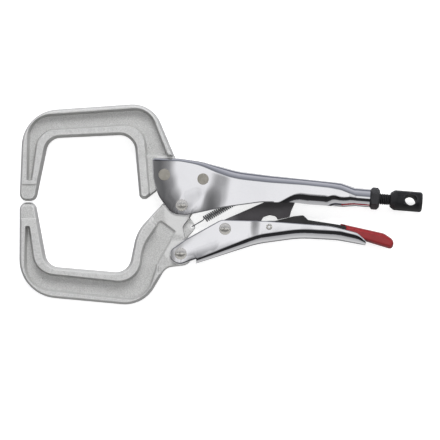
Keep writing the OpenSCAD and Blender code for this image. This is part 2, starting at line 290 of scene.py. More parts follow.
def to_screw(x, y):
    c, s = math.cos(SCREW_SLOPE), math.sin(SCREW_SLOPE)
    return x * c + (y - SCREW_RISE) * s, -x * s + (y - SCREW_RISE) * c


# ---------------------------------------------------------------- mesh builders


def mesh_object(name, points, faces, apart):
    """An object from points in millimetres, those nearer than apart (in metres) merged."""
    co = np.asarray(points, float) * MM + ORIGIN
    mesh = bpy.data.meshes.new(name)
    mesh.from_pydata(co.tolist(), [], [list(map(int, f)) for f in faces])
    bm = bmesh.new()
    bm.from_mesh(mesh)
    bmesh.ops.remove_doubles(bm, verts=bm.verts, dist=apart)
    bmesh.ops.dissolve_degenerate(bm, edges=bm.edges, dist=1e-7)
    bmesh.ops.recalc_face_normals(bm, faces=bm.faces)
    bm.to_mesh(mesh)
    bm.free()
    obj = bpy.data.objects.new(name, mesh)
    bpy.context.scene.collection.objects.link(obj)
    return obj


def piece(name, points, faces, body, slot, nodes, sharp=38, weighted=True):
    """A visible piece, riding on a body in place of CAD nodes.

    sharp is the angle in degrees from which an edge stays sharp."""
    obj = mesh_object(name, points, faces, apart=2e-7)
    obj.data.shade_smooth()
    obj.data.set_sharp_from_angle(angle=math.radians(sharp))
    if weighted:
        modifier = obj.modifiers.new("weighted", "WEIGHTED_NORMAL")
        modifier.keep_sharp = True
        modifier.weight = 60
        settle(obj)
    obj.data.materials.clear()
    obj.data.materials.append(MATERIALS[slot])
    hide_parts(*nodes)
    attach(obj, body)
    return obj


def settle(obj):
    """Makes what the modifiers give the object's own mesh."""
    graph = bpy.context.evaluated_depsgraph_get()
    mesh = bpy.data.meshes.new_from_object(obj.evaluated_get(graph), depsgraph=graph)
    obj.modifiers.clear()
    obj.data = mesh


def relief(outline, rings, height, holes=(), weld=True):
    """Points and faces of a solid that is the same on both sides of the middle plane.

    rings are lines that the faces follow, and height gives half the thickness at each
    point. A welded outline is a sharp parting line in the middle plane, and any other
    has an upright wall."""
    verts, edges = [], []
    for loop in [outline, *rings, *holes]:
        base, n = len(verts), len(loop)
        verts += [Vector(p) for p in loop]
        edges += [(base + i, base + (i + 1) % n) for i in range(n)]
    flat = delaunay_2d_cdt(verts, edges, [], 0, 1e-5)
    at = np.array([v[:] for v in flat[0]])
    tris = np.array([f for f in flat[2]])
    a, b, c = at[tris[:, 0]], at[tris[:, 1]], at[tris[:, 2]]
    area = (b[:, 0] - a[:, 0]) * (c[:, 1] - a[:, 1]) - (b[:, 1] - a[:, 1]) * (c[:, 0] - a[:, 0])
    middle = (a + b + c) / 3
    keep = inside(middle, outline) & (np.abs(area) > 1e-9)
    for hole in holes:
        keep &= ~inside(middle, hole)
    tris = tris[keep]
    tris = np.where((area[keep] > 0)[:, None], tris, tris[:, ::-1])
    used = np.unique(tris)
    number = {int(v): i for i, v in enumerate(used)}
    at = at[used]
    tris = [[number[int(v)] for v in t] for t in tris]
    z = np.maximum(height(at), 0.0)
    on_edge = distance(at, outline) < 1e-3
    if weld:
        z[on_edge] = 0.0
    n = len(at)
    below = [i if weld and on_edge[i] else n + i for i in range(n)]
    points = np.vstack([np.c_[at, z], np.c_[at, -z]])
    faces = [list(t) for t in tris] + [[below[v] for v in reversed(t)] for t in tris]
    directed = dict.fromkeys((t[i], t[(i + 1) % 3]) for t in tris for i in range(3))
    for a, b in directed:
        welded = below[a] == a and below[b] == b
        if (b, a) not in directed and not welded:
            faces.append([b, a, below[a], below[b]])
    return points, faces


def plate(corners, half, edge, holes=(), step=5.0):
    """A flat plate with rounded edges."""
    outline = resampled(rounded(corners, 0, step), 6)
    insets = [edge * (1 - math.cos(math.radians(a))) for a in (25, 50, 70, 90)]
    rings = [resampled(rounded(corners, i, step), 6) for i in insets + [edge * 1.6]]

    def height(p):
        d = np.minimum(distance(p, outline), edge)
        return half - edge + np.sqrt(edge**2 - (edge - d) ** 2)

    return relief(outline, rings, height, holes, weld=False)


def revolve(profile, n=48):
    """A closed profile of [radius, along] turned about the Z axis."""
    profile = np.asarray(profile, float)
    m = len(profile)
    points, faces = [], []
    for k in range(n):
        c, s = math.cos(2 * math.pi * k / n), math.sin(2 * math.pi * k / n)
        points += [[r * c, r * s, z] for r, z in profile]
    for k in range(n):
        for i in range(m - 1):
            a, b = k * m, ((k + 1) % n) * m
            faces.append([a + i, b + i, b + i + 1, a + i + 1])
    return np.array(points), faces


def on_screw(points, u):
    """Points drawn about the Z axis, laid along the screw's axis from u."""
    p = np.asarray(points, float)
    x, y = by_screw(u + p[:, 2], p[:, 1])
    return np.c_[x, y, -p[:, 0]]


def joined(*parts):
    points, faces, base = [], [], 0
    for p, f in parts:
        points.append(np.asarray(p, float))
        faces += [[base + v for v in face] for face in f]
        base += len(p)
    return np.vstack(points), faces


def swept(path, r, sides=10):
    """A round wire along a path of points, closed at both ends."""
    path = np.asarray(path, float)
    n = len(path)
    tangents = [unit(path[min(i + 1, n - 1)] - path[max(i - 1, 0)]) for i in range(n)]
    side = unit(np.cross(tangents[0], [0.13, 0.2, 1.0]))
    points, faces = [], []
    for i in range(n):
        side = unit(side - tangents[i] * (side @ tangents[i]))
        other = np.cross(tangents[i], side)
        for k in range(sides):
            a = 2 * math.pi * k / sides
            points.append(path[i] + r * (math.cos(a) * side + math.sin(a) * other))
    for i in range(n - 1):
        for k in range(sides):
            a, b = i * sides + k, i * sides + (k + 1) % sides
            faces.append([a, b, b + sides, a + sides])
    faces.append(list(range(sides))[::-1])
    faces.append([(n - 1) * sides + k for k in range(sides)])
    return np.array(points), faces


# ---------------------------------------------------------------- materials


def noise(nodes, links, source, scale, detail, stretch=None):
    if stretch:
        mapping = nodes.new("ShaderNodeMapping")
        mapping.inputs["Scale"].default_value = stretch
        links.new(source, mapping.inputs["Vector"])
        source = mapping.outputs["Vector"]
    node = nodes.new("ShaderNodeTexNoise")
    node.inputs["Scale"].default_value = scale
    node.inputs["Detail"].default_value = detail
    node.inputs["Roughness"].default_value = 0.55
    links.new(source, node.inputs["Vector"])
    return node.outputs["Fac"]


def ranged(nodes, links, value, low, high, start=0.3, end=0.7):
    node = nodes.new("ShaderNodeMapRange")
    node.inputs["From Min"].default_value = start
    node.inputs["From Max"].default_value = end
    node.inputs["To Min"].default_value = low
    node.inputs["To Max"].default_value = high
    links.new(value, node.inputs["Value"])
    return node.outputs["Result"]


def mixed(nodes, links, factor, a, b, blend="MIX"):
    node = nodes.new("ShaderNodeMix")
    node.data_type = "RGBA"
    node.blend_type = blend
    if isinstance(factor, bpy.types.NodeSocket):
        links.new(factor, node.inputs["Factor"])
    else:
        node.inputs["Factor"].default_value = factor
    for socket, value in (("A", a), ("B", b)):
        target = [s for s in node.inputs if s.name == socket and s.type == "RGBA"][0]
        if isinstance(value, bpy.types.NodeSocket):
            links.new(value, target)
        else:
            target.default_value = (*value, 1)
    return [s for s in node.outputs if s.type == "RGBA"][0]


def stepped(nodes, links, factor, stops):
    node = nodes.new("ShaderNodeValToRGB")
    links.new(factor, node.inputs["Fac"])
    elements = node.color_ramp.elements
    while len(elements) > 1:
        elements.remove(elements[0])
    for k, (at, colour) in enumerate(stops):
        element = elements[0] if k == 0 else elements.new(at)
        element.position = at
        element.color = (*colour, 1)
    return node.outputs["Color"]


def finish_of(
    name, dark, light, metallic, rough, mottle=60, grain=1200, bump=0.1, deep=0.00003,
    edge=None, edge_share=0.5, wear_and_sheen_from=(0.51, 0.58), coat=0.0, waves=None, level=0.4,
    speckle=0.12,
):
    """A metal, paint or vinyl: mottled between two colours, with grain in its gloss and relief.

    mottle and grain are noise scales, bump and deep the grain's strength and height in
    metres. edge is a colour painted on edges whose pointiness lies in the range given after
    edge_share, as wear on the dark steels and as a painted highlight on the forged jaws, waves
    the scale and height of slow unevenness, and speckle how much the grain shades the colour."""
    material = bpy.data.materials.new(name)
    material.use_nodes = True
    nodes, links = material.node_tree.nodes, material.node_tree.links
    shader = nodes["Principled BSDF"]
    shader.inputs["Metallic"].default_value = metallic
    shader.inputs["Specular IOR Level"].default_value = level
    shader.inputs["Coat Weight"].default_value = coat
    shader.inputs["Coat Roughness"].default_value = 0.25
    place = nodes.new("ShaderNodeTexCoord").outputs["Object"]
    broad = noise(nodes, links, place, mottle, 4)
    fine = noise(nodes, links, place, grain, 2)
    colour = mixed(nodes, links, ranged(nodes, links, broad, 0, 1), dark, light)
    speck = ranged(nodes, links, fine, 1 - speckle, 1 + speckle)
    shaded = nodes.new("ShaderNodeVectorMath")
    shaded.operation = "SCALE"
    links.new(colour, shaded.inputs[0])
    links.new(speck, shaded.inputs["Scale"])
    colour = shaded.outputs["Vector"]
    # edges painted in the edge colour: wear on the dark steels, a painted highlight on the jaws
    if edge:
        geometry = nodes.new("ShaderNodeNewGeometry")
        wear_and_sheen = ranged(nodes, links, geometry.outputs["Pointiness"], 0, edge_share, *wear_and_sheen_from)
        colour = mixed(nodes, links, wear_and_sheen, colour, edge)
    links.new(colour, shader.inputs["Base Color"])
    gloss = nodes.new("ShaderNodeMath")
    gloss.operation = "MULTIPLY"
    links.new(ranged(nodes, links, broad, 0.85, 1.15), gloss.inputs[0])
    links.new(ranged(nodes, links, fine, rough * 0.85, rough * 1.15), gloss.inputs[1])
    links.new(gloss.outputs[0], shader.inputs["Roughness"])
    relief_node = nodes.new("ShaderNodeBump")
    relief_node.inputs["Strength"].default_value = bump
    relief_node.inputs["Distance"].default_value = deep
    links.new(fine, relief_node.inputs["Height"])
    normal = relief_node.outputs["Normal"]
    if waves:
        slow = nodes.new("ShaderNodeBump")
        slow.inputs["Strength"].default_value = 1.0
        slow.inputs["Distance"].default_value = waves[1]
        links.new(noise(nodes, links, place, waves[0], 1), slow.inputs["Height"])
        links.new(normal, slow.inputs["Normal"])
        normal = slow.outputs["Normal"]
    links.new(normal, shader.inputs["Normal"])
    return material


MATERIALS = {
    "forged_jaw": finish_of(
        "blasted_forging", (0.50, 0.50, 0.49), (0.545, 0.545, 0.535), 0.5, 0.36,
        mottle=140, grain=1500, bump=0.8, deep=0.00018, speckle=0.2,
        # a painted highlight: the edges of the jaw's rims and walls are painted lighter
        edge=(0.72, 0.72, 0.71), edge_share=0.7, wear_and_sheen_from=(0.504, 0.54),
    ),
    "chromed_sheet": finish_of(
        "chrome_plate", (0.78, 0.78, 0.80), (0.84, 0.84, 0.86), 1.0, 0.05,
        mottle=25, grain=1400, bump=0.02, deep=0.000004, waves=(60, 0.0001), speckle=0.015,
    ),
    "rivet_steel": finish_of(
        "satin_nickel", (0.76, 0.74, 0.69), (0.84, 0.82, 0.77), 0.88, 0.27,
        mottle=120, grain=700, bump=0.03, deep=0.00001, speckle=0.02,
    ),
    "flush_rivet": finish_of(
        "ground_steel", (0.23, 0.218, 0.19), (0.30, 0.285, 0.255), 0.4, 0.42,
        mottle=350, grain=2600, bump=0.3, deep=0.00005,
    ),
    "dark_steel": finish_of(
        "charcoal_phosphate", (0.028, 0.026, 0.028), (0.044, 0.041, 0.044), 0.0, 0.55,
        mottle=80, grain=2200, bump=0.25, deep=0.00005, edge=(0.16, 0.16, 0.165),
    ),
    "black_steel": finish_of(
        "black_plate", (0.012, 0.012, 0.012), (0.022, 0.021, 0.022), 0.0, 0.42,
        mottle=90, grain=2000, bump=0.2, deep=0.00004, edge=(0.12, 0.12, 0.125), edge_share=0.4,
    ),
    "washer_steel": finish_of(
        "plain_zinc", (0.46, 0.46, 0.46), (0.56, 0.56, 0.57), 0.9, 0.35,
        mottle=200, grain=2000, bump=0.2,
    ),
    "red_vinyl": finish_of(
        "dipped_vinyl", (0.165, 0.010, 0.012), (0.215, 0.014, 0.016), 0.0, 0.36,
        mottle=70, grain=1600, bump=0.12, deep=0.00004, coat=0.25,
    ),
    "spring_steel": finish_of(
        "drawn_wire", (0.40, 0.40, 0.40), (0.58, 0.58, 0.58), 1.0, 0.18,
        mottle=250, grain=2500, bump=0.15, deep=0.00002,
    ),
    "black_oxide": finish_of(
        "black_oxide", (0.005, 0.005, 0.0055), (0.012, 0.012, 0.013), 0.0, 0.36,
        mottle=260, grain=2400, bump=0.3, deep=0.00005, edge=(0.09, 0.09, 0.095),
        edge_share=0.3, level=0.3,
    ),
}


# ---------------------------------------------------------------- the jaws


def jaw(name, corners, pocket, tang, tang_half, tang_run, tip_at, holes, body, tab=None):
    """A forged arm: rims round a recessed web, a thinner tang and a stepped tip at y tip_at."""
    outline = resampled(rounded(corners, PARTING_INSET), 1.5)
    pocket_loop = rounded(pocket)
    tang_loop = rounded(tang)

    def offsets(loop, insets, longest=1.5):
        return [resampled(rounded(loop, i), longest) for i in insets]

    rings = offsets(corners, (0.2, 0.45, 0.75, 1.05, 1.3, 1.55, 1.8, 2.1, 2.7))
    rings += offsets(pocket, (-1.0, -0.8, -0.64, -0.48, 0, 0.48, 0.64, 0.8, 1.0))
    rings += offsets(tang, [-tang_run * i for i in (0, 0.2, 0.5, 0.8, 1.0, 1.15)])
    for i in (-0.6, -0.4, -0.15, 0.15, 0.4, 0.6):
        rings.append(np.array([[-120, tip_at + i], [-95, tip_at + i], [-95, tip_at + i + 0.01]]))
    if tab:
        tab_loop = rounded(tab)
        rings += offsets(tab, (-0.6, -0.4, -0.2, 0, 0.15), 1.0)

    def height(p):
        level = np.full(len(p), RIM_HALF)
        toward_tip = (tip_at - p[:, 1]) * (1 if tip_at > 0 else -1)
        low = slope_of((toward_tip + 0.4) / 0.8) * (p[:, 0] < -95)
        level += (TIP_HALF - level) * low
        level += (tang_half - level) * slope_of(1 + depth_in(p, tang_loop) / tang_run)
        level += (WEB_HALF - level) * slope_of((depth_in(p, pocket_loop) + 0.8) / 1.6)
        if tab:
            level += (1.5 - level) * smooth(1 + depth_in(p, tab_loop) / 0.6)
        rise = distance(p, outline) * RIM_HALF / DRAFT
        return soft_min(rise, level, 0.6 * np.minimum(level, 3.6))

    points, faces = relief(outline, rings, height, holes)
    return piece(name + "_forging", points, faces, body, "forged_jaw", [name], sharp=50)


jaw(
    "fixed_jaw", FIXED_JAW, FIXED_POCKET, FIXED_TANG, WALL_IN, 1.2, 14.4,
    [circle(at, FLUSH_R) for at in FLUSH_RIVETS.values()], "frame_body",
)
jaw(
    "moving_jaw", MOVING_JAW, MOVING_POCKET, MOVING_TANG, WALL_IN - 0.2, 1.4, -9.2, [
        circle(JAW_PIVOT, PIVOT_BORE_R), circle(HANDLE_PIVOT, PIVOT_BORE_R),
        circle(SPRING_HOLE, 1.2, 24),
    ], "jaw_body", SPRING_TAB,
)


# ---------------------------------------------------------------- the sheet handles


def chain(loop, u):
    """Lowest and highest v of a closed loop at each u."""
    low, high = np.full(len(u), np.inf), np.full(len(u), -np.inf)
    for p, q in zip(loop, np.roll(loop, -1, axis=0)):
        if abs(p[0] - q[0]) < 1e-9:
            continue
        t = (u - p[0]) / (q[0] - p[0])
        hit = (t >= -1e-9) & (t <= 1 + 1e-9)
        v = p[1] + t * (q[1] - p[1])
        low = np.where(hit, np.minimum(low, v), low)
        high = np.where(hit, np.maximum(high, v), high)
    return low, high


def stations(loop, extra, longest=1.4):
    """Places along a handle, close together where its outline is steep."""
    line = resampled(loop, 0.9, closed=True)
    u = list(line[:, 0]) + list(np.arange(loop[:, 0].min(), loop[:, 0].max(), longest))
    lo, hi = loop[:, 0].min() + 0.02, loop[:, 0].max() - 0.002
    u = sorted(x for x in u if lo < x < hi and min(abs(x - e) for e in extra) > 0.12)
    kept = [lo]
    for x in u:
        if x - kept[-1] > 0.09:
            kept.append(x)
    return np.array(sorted(kept + list(extra) + [hi]))


def edge_roll(d, r=0.5):
    d = np.clip(d, 0, r)
    return r - np.sqrt(r * r - (r - d) ** 2)


WALL_CELLS = 26
EDGE_STEPS = np.array([0, 0.1, 0.25, 0.45, 0.75])
CROWN_CELLS = 9
WEB_CELLS = 9


def channel(u, low, high, half, crown, split, curl, bend_r, web_from, lowered, to_xy, flat_ears):
    """A bent sheet channel, given at stations along it, with its crown towards +v.

    low and high are its edges, half its half width, crown the radius of its bend, split the
    share of the bend and web up to which the open ears reach, curl the angle by which the
    free edges turn in, and lowered(u, v) how far the face sinks below flat."""
    wall = len(EDGE_STEPS) + WALL_CELLS - 1
    last = wall + CROWN_CELLS + WEB_CELLS
    slope = np.clip(np.abs(np.gradient(low, u)), 0, 10)
    outer, inner = {}, {}

    def section(i, ear):
        """Outer and inner points [v, z] of one cross-section, from its edge to its web."""
        v0, v1, w = low[i], high[i], half[i]
        r = min(crown[i], 0.8 * (v1 - v0))
        if ear and flat_ears:
            r = 0.02
        bend = curl[i]
        big = bend_r[i]
        turn_v = v0 + big * math.sin(bend)
        length = big * bend + (v1 - r - turn_v)
        first = EDGE_STEPS * min(math.hypot(1, slope[i]), length / 2.5)
        s = np.r_[first, np.linspace(first[-1], length, WALL_CELLS + 1)[1:]]
        out, inn = [], []
        for x in s[: wall + 1]:
            if x < big * bend:
                a = bend - x / big
                out.append([turn_v - big * math.sin(a), w - big + big * math.cos(a)])
                k = big - SHEET
                inn.append([turn_v - k * math.sin(a), w - big + k * math.cos(a)])
            else:
                v = turn_v + x - big * bend
                out.append([v, w])
                inn.append([v, w - SHEET])
        ri = max(r - SHEET, 0.25)
        across = max(w - r, 0.0)
        total = r * math.pi / 2 + across
        shares = np.r_[
            np.linspace(0, split, CROWN_CELLS + 1)[1:], np.linspace(split, 1, WEB_CELLS + 1)[1:]
        ]
        if ear:
            arc = r * math.pi / 2
            shares = np.r_[np.linspace(0, 1, CROWN_CELLS + 1)[1:] * arc / total, np.ones(WEB_CELLS)]
        for f in shares:
            t = f * total
            if t < r * math.pi / 2 + 1e-9:
                a = t / r
                p = [v1 - r + r * math.sin(a), w - r + r * math.cos(a)]
                q = [v1 - SHEET - ri + ri * math.sin(a), w - SHEET - ri + ri * math.cos(a)]
            else:
                z = across - (t - r * math.pi / 2)
                p = [v1, z]
                q = [v1 - SHEET, z * (w - SHEET - ri) / across]
            if ear:
                q = [p[0], min(w - SHEET, p[1] - 0.05)]
            out.append(p)
            inn.append(q)
        return np.array(out), np.array(inn)

    n = len(u)
    first_web = next((i for i in range(n) if u[i] >= web_from - 1e-6), 0)

    def add(i, version, ear):
        out, inn = section(i, ear)
        flat = np.arange(len(out)) <= wall
        sink = lowered(np.full(len(out), u[i]), out[:, 0])
        arc = np.clip((np.arange(len(out)) - wall) / CROWN_CELLS, 0, 1)
        ease = np.where(flat, 1.0, np.cos(arc * math.pi / 2))
        sink = sink * ease * (0.0 if curl[i] > 1e-3 else 1.0)
        if ear and flat_ears:
            sink = lowered(np.full(len(out), u[i]), out[:, 0])
        out[:, 1] = np.maximum(out[:, 1] - sink, inn[:, 1] + 0.05)
        for j in range(last + 1):
            for side in (1, -1):
                if j == last and side == -1:
                    continue
                c = j if side == 1 else 2 * last - j
                for store, p in ((outer, out), (inner, inn)):
                    x, y = to_xy(u[i], p[j][0])
                    store[(i, c, version)] = (x, y, side * p[j][1])

    for i in range(n):
        add(i, 0, i < first_web)
    if flat_ears:
        # the ears end beside the front of the web, in a flat edge of their own
        saved = high[first_web]
        high[first_web] = high[first_web - 1]
        add(first_web, 1, True)
        high[first_web] = saved
    cells = []
    for i in range(n - 1):
        for c in range(2 * last):
            j = c if c < last else 2 * last - 1 - c
            if i < first_web and j >= wall + CROWN_CELLS:
                continue
            if i < first_web and flat_ears and j >= wall:
                continue
            corners = [(i, c), (i + 1, c), (i + 1, c + 1), (i, c + 1)]
            version = 1 if flat_ears and i < first_web else 0
            cells.append([
                (a, b, version if a == first_web and version else 0) for a, b in corners
            ])
    number, points = {}, []
    for store, tag in ((outer, "o"), (inner, "i")):
        for key in sorted({k for cell in cells for k in cell}):
            number[(tag, key)] = len(points)
            points.append(store[key])
    faces, used = [], set()
    for cell in cells:
        faces.append([number[("o", k)] for k in cell])
        faces.append([number[("i", k)] for k in reversed(cell)])
        used |= {(cell[k], cell[(k + 1) % 4]) for k in range(4)}
    for a, b in used:
        if (b, a) not in used:
            faces.append([number[("o", b)], number[("o", a)], number[("i", a)], number[("i", b)]])
    return points, faces


def upper_handle():
    corners = [[*to_screw(x, y), r] for x, y, r in UPPER_FRONT[1:]]
    corners += [[TUBE_START + 0.3, -TUBE_R, 8], [TUBE_END, -TUBE_R, 0], [TUBE_END, TUBE_R, 0]]
    corners += [[TUBE_START, TUBE_R, 8]]
    corners += [[*to_screw(x, y), r] for x, y, r in UPPER_TOP + [UPPER_FRONT[0]]]
    loop = rounded(corners, 0, 3)
    web_from = to_screw(2.2, 30)[0]
    u = stations(loop, [web_from, 66.0, 95.0, 106.0])
    low, high = chain(loop, u)
    half = np.minimum(WALL_OUT, (high - low) / 2)
    half = np.where(u > 60, half, WALL_OUT)
    crown = np.interp(
        u, [0, 8, 22, 32, 58, 84, 103, 112, 121], [2.2, 2.7, 5.4, 6.2, 5.7, 4.7, 4.8, 5.8, 6.35],
    )
    crown = np.minimum(np.convolve(np.pad(crown, 4, "edge"), np.ones(9) / 9, "valid"), half)
    crown = np.where(u > TUBE_START, half, crown)
    # the lips turn in behind the link, and meet where the channel becomes the tube
    lip, closed = math.radians(38), math.radians(88.8)
    curl = lip * smooth((u - 64) / 20) + (closed - lip) * smooth((u - 101) / 10)
    bend_r = half + 5.35 * (1 - smooth((u - 99) / 12))
    split = (2.2 * math.pi / 2) / (2.2 * math.pi / 2 + WALL_OUT - 2.2)
    front = [[*to_screw(x, y), r] for x, y, r in UPPER_FRONT]
    line = resampled(rounded(front + [[100, 40, 0]], 0, 4), 2)
    line = line[(line[:, 1] < 15.2) & (line[:, 0] < 70)]

    def lowered(uu, vv):
        p = np.c_[uu, vv]
        d = distance(p, line, closed=False)
        dish = 0.8 * np.clip(1 - d / 18, 0, 1) ** 2 * (1 - smooth((uu - 4) / 24))
        x, y = by_screw(uu, vv)
        step = 0.46 * (1 - smooth((x - 13 - 0.25 * y) / 20))
        dent = 0.16 * np.exp(-(((x - 14) / 8) ** 2 + ((y - 5) / 6) ** 2))
        return (edge_roll(d) + dish + step + dent) * (uu < 70)

    shape = channel(
        u, low, high, half, crown, split, curl, bend_r, web_from, lowered, by_screw, False
    )
    # the tab under the web that holds the spring's rear hook
    x, y = SPRING_ANCHOR
    lug = plate([[y - 2.2, -3, 1.5], [y + 7.6, -3, 0.3], [y + 7.6, 3, 0.3], [y - 2.2, 3, 1.5]],
                SHEET / 2, 0.3, [circle(np.array([y, 0.0]), 0.85, 20)])
    p = lug[0]
    lug_points = np.c_[x + 1 + SHEET / 2 + p[:, 2], p[:, 0], p[:, 1]]
    points, faces = joined(shape, (lug_points, lug[1]))
    piece("upper_handle_shell", points, faces, "frame_body", "chromed_sheet",
          ["upper_handle"], sharp=42, weighted=False)
    return lowered


def lower_handle():
    corners = [[x, -y, r] for x, y, r in LOWER_HANDLE]
    loop = rounded(corners, 0, 3)
    u = stations(loop, [LOWER_WEB_START])
    low, high = chain(loop, u)
    first = np.searchsorted(u, LOWER_WEB_START - 1e-6)
    high[first] = 40.35
    half = np.full(len(u), WALL_OUT)
    crown = 3.2 + 3.6 * smooth((u - 8) / 50)
    # the stretches of the outline that are free edges, which is all but the web
    line = resampled(loop, 1.5)
    web_side = np.interp(line[:, 0], [10, 52, 82, 108, 129], [36, 24, 20, 21.4, 24.5])
    keep = ~((line[:, 0] > LOWER_WEB_START + 0.2) & (line[:, 1] > web_side))
    edges, run = [], []
    for ok, p in zip(keep, line):
        if ok:
            run.append(p)
        elif run:
            edges.append(np.array(run))
            run = []
    edges.append(np.array(run))

    def lowered(uu, vv):
        p = np.c_[uu, vv]
        d = np.min([distance(p, q, closed=False) for q in edges if len(q) > 1], axis=0)
        ear = 0.14 * np.clip(1 - d / 7, 0, 1) ** 2 * (1 - smooth((uu - 2) / 20))
        hill = 0.30 * smooth((uu - 22) / 26) * (1 - smooth((uu - 46) / 10))
        foot = np.interp(uu, [0, 10, 52, 82, 108, 129], [38, 36, 21, 15.5, 16.5, 20])
        bow = 0.20 * np.clip(1 - (foot - vv) / 7, 0, 1.6) ** 2 * smooth((uu + 2) / 12)
        bow *= 1 - 0.5 * smooth((uu - 20) / 30)
        return edge_roll(d) + ear + hill + bow

    shape = channel(
        u, low, high, half, crown, 0.5, np.zeros(len(u)), half, LOWER_WEB_START, lowered,
        lambda a, b: (a, -b), True,
    )
    piece("lower_handle_shell", *shape, "handle_body", "chromed_sheet",
          ["lower_handle"], sharp=42, weighted=False)


upper_sink = upper_handle()
lower_handle()


# ---------------------------------------------------------------- rivets and washers


def both_sides(profile):
    """A profile from the axis out to the middle plane, repeated below it."""
    profile = np.asarray(profile, float)
    return np.vstack([profile, profile[::-1] * [1, -1]])


def rivet(name, at, profile, body, slot, n=56):
    points, faces = revolve(both_sides(profile), n)
    points[:, 0] += at[0]
    points[:, 1] += at[1]
    piece(name + "_turned", points, faces, body, slot, [name], sharp=40, weighted=False)


def domed(base):
    """A domed head with a small flange, standing on a face at the height base."""
    ball = (DOME_R**2 + DOME_H**2) / (2 * DOME_H)
    top = [
        [ball * math.sin(a), WALL_OUT + DOME_H - ball + ball * math.cos(a)]
        for a in np.linspace(0, math.asin((DOME_R - 0.1) / ball), 14)
    ]
    rim = [[DOME_R, WALL_OUT + 0.12], [DOME_R - 0.04, WALL_OUT], [DOME_R - 0.3, WALL_OUT - 0.2]]
    return top + rim + [[DOME_R - 0.3, base], [PIVOT_R, base], [PIVOT_R, 0.0]]


def flush(face):
    """A pin with a flat end, its edge rounded, at the height face."""
    edge = [
        [FLUSH_R - 0.4 + 0.4 * math.sin(a), face - 0.3 + 0.3 * math.cos(a)]
        for a in np.linspace(0, math.pi / 2, 6)
    ]
    return [[0, face - 0.05], [FLUSH_R * 0.5, face - 0.03]] + edge + [[FLUSH_R, 0.0]]


for node, at, body in (
    ("jaw_pivot_rivet", JAW_PIVOT, "frame_body"),
    ("handle_pivot_rivet", HANDLE_PIVOT, "handle_body"),
    ("link_pivot_rivet", LINK_PIVOT, "handle_body"),
):
    rivet(node, at, domed(WALL_OUT - 0.9), body, "rivet_steel")
for node, at in FLUSH_RIVETS.items():
    uu, vv = to_screw(*circle(at, FLUSH_R, 16).T)
    face = WALL_OUT - float(upper_sink(uu, vv).min()) + 0.07
    rivet(node, at, flush(face), "frame_body", "flush_rivet")
rivet(
    "lever_rivet", LEVER_PIVOT,
    [[0, 6.3], [0.62, 6.3], [0.75, 6.5], [0.8, 7.3], [1.0, 7.58], [1.35, 7.65], [1.75, 7.58],
     [2.08, 7.4], [2.15, 7.2], [2.1, 7.0], [1.5, 6.9], [1.5, 0]],
    "handle_body", "rivet_steel",
)
for node, side in (("link_spacer_near", 1), ("link_spacer_far", -1)):
    low_z, high_z = 2.55, WALL_IN - 0.05
    points, faces = revolve(
        [[3.05, low_z + 0.2], [3.25, low_z], [5.2, low_z], [5.5, low_z + 0.3],
         [5.5, high_z - 0.3], [5.2, high_z], [3.25, high_z], [3.05, high_z - 0.2],
         [3.05, low_z + 0.2]], 56,
    )
    points[:, :2] += LINK_PIVOT
    points[:, 2] *= side
    piece(node + "_ring", points, faces, "handle_body", "washer_steel", [node], weighted=False)


# ---------------------------------------------------------------- link, lever and grip

piece(
    "toggle_link_plate", *plate(LINK, 2.5, 0.35, [circle(LINK_PIVOT, PIVOT_BORE_R)]),
    "link_body", "dark_steel", ["toggle_link"],
)


def cut_away(obj, points, faces):
    """Takes a closed shape, in millimetres, away from an object."""
    cutter = mesh_object("cutter", points, faces, apart=1e-7)
    modifier = obj.modifiers.new("cut", "BOOLEAN")
    modifier.operation = "DIFFERENCE"
    modifier.solver = "EXACT"
    modifier.object = cutter
    settle(obj)
    bpy.data.objects.remove(cutter)
    obj.data.set_sharp_from_angle(angle=math.radians(38))


def block(x0, y0, z0, x1, y1, z1):
    points = [[x, y, z] for x in (x0, x1) for y in (y0, y1) for z in (z0, z1)]
    faces = [[0, 1, 3, 2], [4, 6, 7, 5], [0, 4, 5, 1], [2, 3, 7, 6], [0, 2, 6, 4], [1, 5, 7, 3]]
    return points, faces


lever = piece(
    "release_lever_plate", *plate(LEVER, 3.9, 0.45, [circle(LEVER_PIVOT, 1.55, 24)]),
    "lever_body", "black_steel", ["release_lever"],
)
cut_away(lever, *block(50, -12.2, -2.7, 78.6, 0, 2.7))


def grip():
    outline = resampled(rounded(GRIP, 0, 4), 3)
    side_r = 2.6
    insets = [side_r * (1 - math.cos(math.radians(a))) for a in (15, 27, 38, 48, 58, 68, 79, 90)]
    rings = [resampled(rounded(GRIP, i, 4), 2) for i in insets]
    for k in (0.12, 0.35, 0.7, 1.2):
        x = GRIP_FRONT + k
        rings.append(np.array([[x, -30], [x, -8], [x + 0.01, -8]]))
    sides = outline[outline[:, 0] > 111.2]
    start = int(np.argmax(np.linalg.norm(np.roll(sides, -1, axis=0) - sides, axis=1)))
    sides = np.roll(sides, -start - 1, axis=0)

    def height(p):
        d = np.minimum(distance(p, sides, closed=False), side_r)
        body = np.sqrt(side_r**2 - (side_r - d) ** 2) / side_r
        front = edge_roll(p[:, 0] - GRIP_FRONT, 0.9)
        return 1.1 + 3.6 * body - front * 0.9

    return relief(outline, rings, height, weld=False)


piece("vinyl_grip", *grip(), "lever_body", "red_vinyl", ["lever_grip"], sharp=60)


# ---------------------------------------------------------------- return spring


